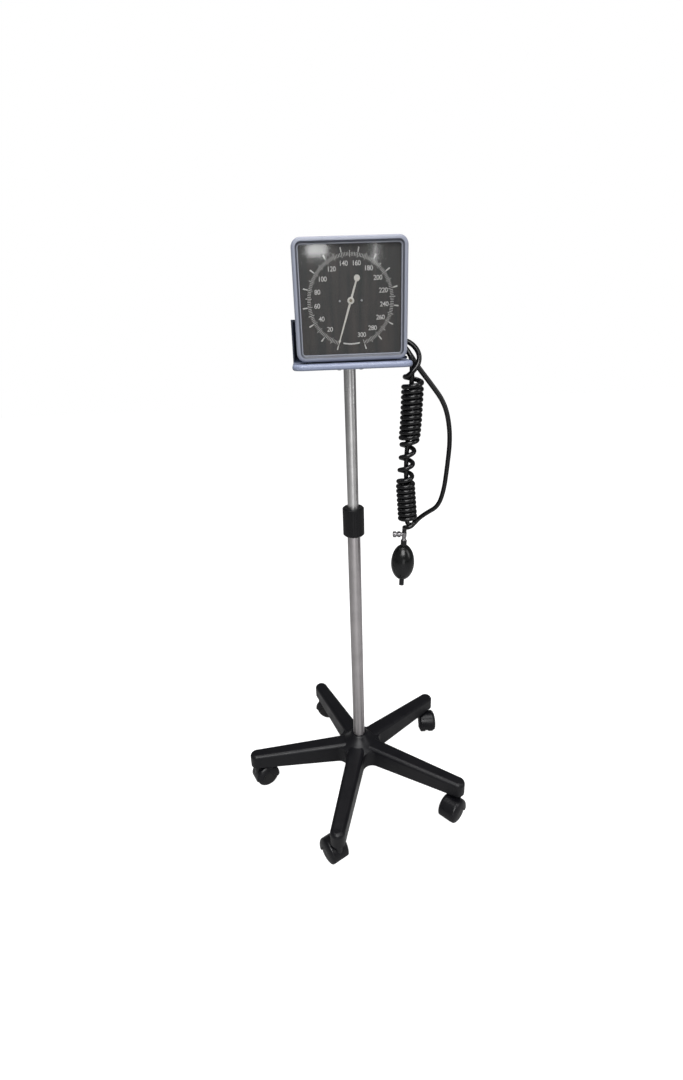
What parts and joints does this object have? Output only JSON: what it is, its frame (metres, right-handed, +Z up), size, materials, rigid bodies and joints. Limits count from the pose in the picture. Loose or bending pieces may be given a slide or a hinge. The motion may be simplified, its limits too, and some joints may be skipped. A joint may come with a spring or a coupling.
{
  "type": "aneroid sphygmomanometer",
  "caption": "Blood pressure gauge with a square dial on a telescopic pole, with a cuff basket, a coiled hose, a hand bulb and a rolling star base.",
  "frame": {"origin": "on the floor, under the pole's axis", "axes": "+Z up along the pole; the dial faces -Y; +X is the dial's right as it is read"},
  "size_m": [0.4637, 0.4819, 1.1037],
  "materials": {
    "base_nylon": "moulded black nylon",
    "caster_nylon": "moulded black nylon",
    "upper_tube": "satin plated",
    "lower_tube": "satin plated",
    "steel": "plain",
    "aluminium": "plain",
    "black_plastic": "fine moulded",
    "bush_plastic": "plain",
    "shelf_plastic": "fine texture",
    "basket_plastic": "fine texture",
    "frame_plastic": "fine texture",
    "case_plastic": "fine texture",
    "clear_plastic": "polished",
    "gasket_rubber": "plain",
    "dial_paint": "satin, printed scale",
    "pointer_paint": "satin",
    "brass": "plain",
    "cuff_cloth": "woven nylon",
    "connector_plastic": "plain",
    "chrome": "plated",
    "bulb_rubber": "glossy",
    "hose_rubber": "glossy"
  },
  "bodies": {
    "base": {"star_base": "base_nylon", "caster_stems": "steel", "outer_tube": "lower_tube", "tube_plug": "aluminium", "base_washer": "steel", "base_bolt": "steel", "collet": "black_plastic"},
    "collar": {"collar": "black_plastic"},
    "guide": {"guide_bush": "bush_plastic"},
    "mast": {"inner_tube": "upper_tube", "foot_plug": "black_plastic", "mast_flange": "steel", "shelf": "shelf_plastic", "basket": "basket_plastic", "gauge_brackets": "steel", "rear_case": "case_plastic", "bezel": "frame_plastic", "lens": "clear_plastic", "lens_gasket": "gasket_rubber", "dial_plate": "dial_paint", "dial_screws": "steel", "movement_back_plate": "brass", "movement_front_plate": "brass", "movement_pillars": "brass", "hairspring": "steel", "bellows_can": "brass", "bellows": "brass", "pressure_port": "brass", "cuff": "cuff_cloth", "cuff_connector": "connector_plastic", "valve_body": "chrome", "bulb": "bulb_rubber", "bulb_inlet_valve": "steel", "head_screws": "steel", "movement_screws": "steel", "gauge_hose": "hose_rubber", "coiled_hose": "hose_rubber", "cuff_hose": "hose_rubber", "bulb_hose": "hose_rubber"},
    "pointer": {"pointer": "pointer_paint", "pinion_arbor": "steel"},
    "sector": {"sector_gear": "brass"},
    "rod": {"push_rod": "steel"},
    "knob": {"release_knob": "chrome"},
    "caster_1": {"caster_1_hood": "caster_nylon"},
    "caster_1_roller": {"caster_1_wheels": "caster_nylon", "caster_1_axle": "steel"},
    "caster_2": {"caster_2_hood": "caster_nylon"},
    "caster_2_roller": {"caster_2_wheels": "caster_nylon", "caster_2_axle": "steel"},
    "caster_3": {"caster_3_hood": "caster_nylon"},
    "caster_3_roller": {"caster_3_wheels": "caster_nylon", "caster_3_axle": "steel"},
    "caster_4": {"caster_4_hood": "caster_nylon"},
    "caster_4_roller": {"caster_4_wheels": "caster_nylon", "caster_4_axle": "steel"},
    "caster_5": {"caster_5_hood": "caster_nylon"},
    "caster_5_roller": {"caster_5_wheels": "caster_nylon", "caster_5_axle": "steel"}
  },
  "joints": [
    {"name": "height_slide", "type": "slide", "parent": "base", "child": "guide", "axis": [0, 0, 1], "range_m": [-0.24, 0.22]},
    {"name": "mast_turn", "type": "hinge", "parent": "guide", "child": "mast", "pos_m": [0, 0, 0.36], "axis": [0, 0, 1], "continuous": true},
    {"name": "collar_twist", "type": "hinge", "parent": "base", "child": "collar", "pos_m": [0, 0, 0.63], "axis": [0, 0, 1], "range_deg": [0, 120]},
    {"name": "sector_swing", "type": "hinge", "parent": "mast", "child": "sector", "pos_m": [0, -0.047, 0.9832], "axis": [0, -1, 0], "range_deg": [0, 32.4], "stiffness_Nm_per_rad": 0.004, "springref_deg": -17.19},
    {"name": "pointer_turn", "type": "hinge", "parent": "mast", "child": "pointer", "pos_m": [0, -0.047, 1.0162], "axis": [0, 1, 0], "range_deg": [0, 324]},
    {"name": "rod_lift", "type": "slide", "parent": "mast", "child": "rod", "axis": [0, 0, 1], "range_m": [0, 0.00475]},
    {"name": "valve_turn", "type": "hinge", "parent": "mast", "child": "knob", "pos_m": [0.09471, -0.02, 0.6065], "axis": [-0.9991, 0, 0.0419], "range_deg": [0, 360]},
    {"name": "caster_1_swivel", "type": "hinge", "parent": "base", "child": "caster_1", "pos_m": [-0.06279, -0.2249, 0.05], "axis": [0, 0, 1], "continuous": true},
    {"name": "caster_1_roll", "type": "hinge", "parent": "caster_1", "child": "caster_1_roller", "pos_m": [-0.07111, -0.21123, 0.0242], "axis": [-0.8545, -0.5195, 0], "continuous": true},
    {"name": "caster_2_swivel", "type": "hinge", "parent": "base", "child": "caster_2", "pos_m": [0.19449, -0.12922, 0.05], "axis": [0, 0, 1], "continuous": true},
    {"name": "caster_2_roll", "type": "hinge", "parent": "caster_2", "child": "caster_2_roller", "pos_m": [0.18269, -0.14003, 0.0242], "axis": [0.6756, -0.7373, 0], "continuous": true},
    {"name": "caster_3_swivel", "type": "hinge", "parent": "base", "child": "caster_3", "pos_m": [0.18299, 0.14504, 0.05], "axis": [0, 0, 1], "continuous": true},
    {"name": "caster_3_roll", "type": "hinge", "parent": "caster_3", "child": "caster_3_roller", "pos_m": [0.18266, 0.12904, 0.0242], "axis": [0.9998, -0.0209, 0], "continuous": true},
    {"name": "caster_4_swivel", "type": "hinge", "parent": "base", "child": "caster_4", "pos_m": [-0.08139, 0.21885, 0.05], "axis": [0, 0, 1], "continuous": true},
    {"name": "caster_4_roll", "type": "hinge", "parent": "caster_4", "child": "caster_4_roller", "pos_m": [-0.06703, 0.21179, 0.0242], "axis": [0.4415, 0.8973, 0], "continuous": true},
    {"name": "caster_5_swivel", "type": "hinge", "parent": "base", "child": "caster_5", "pos_m": [-0.2333, -0.00978, 0.05], "axis": [0, 0, 1], "continuous": true},
    {"name": "caster_5_roll", "type": "hinge", "parent": "caster_5", "child": "caster_5_roller", "pos_m": [-0.21895, -0.00269, 0.0242], "axis": [-0.4431, 0.8965, 0], "continuous": true}
  ],
  "couplings": [
    {"joint": "pointer_turn", "follows": "sector_swing", "ratio": 10},
    {"joint": "rod_lift", "follows": "sector_swing", "m_per_rad": 0.008387}
  ]
}
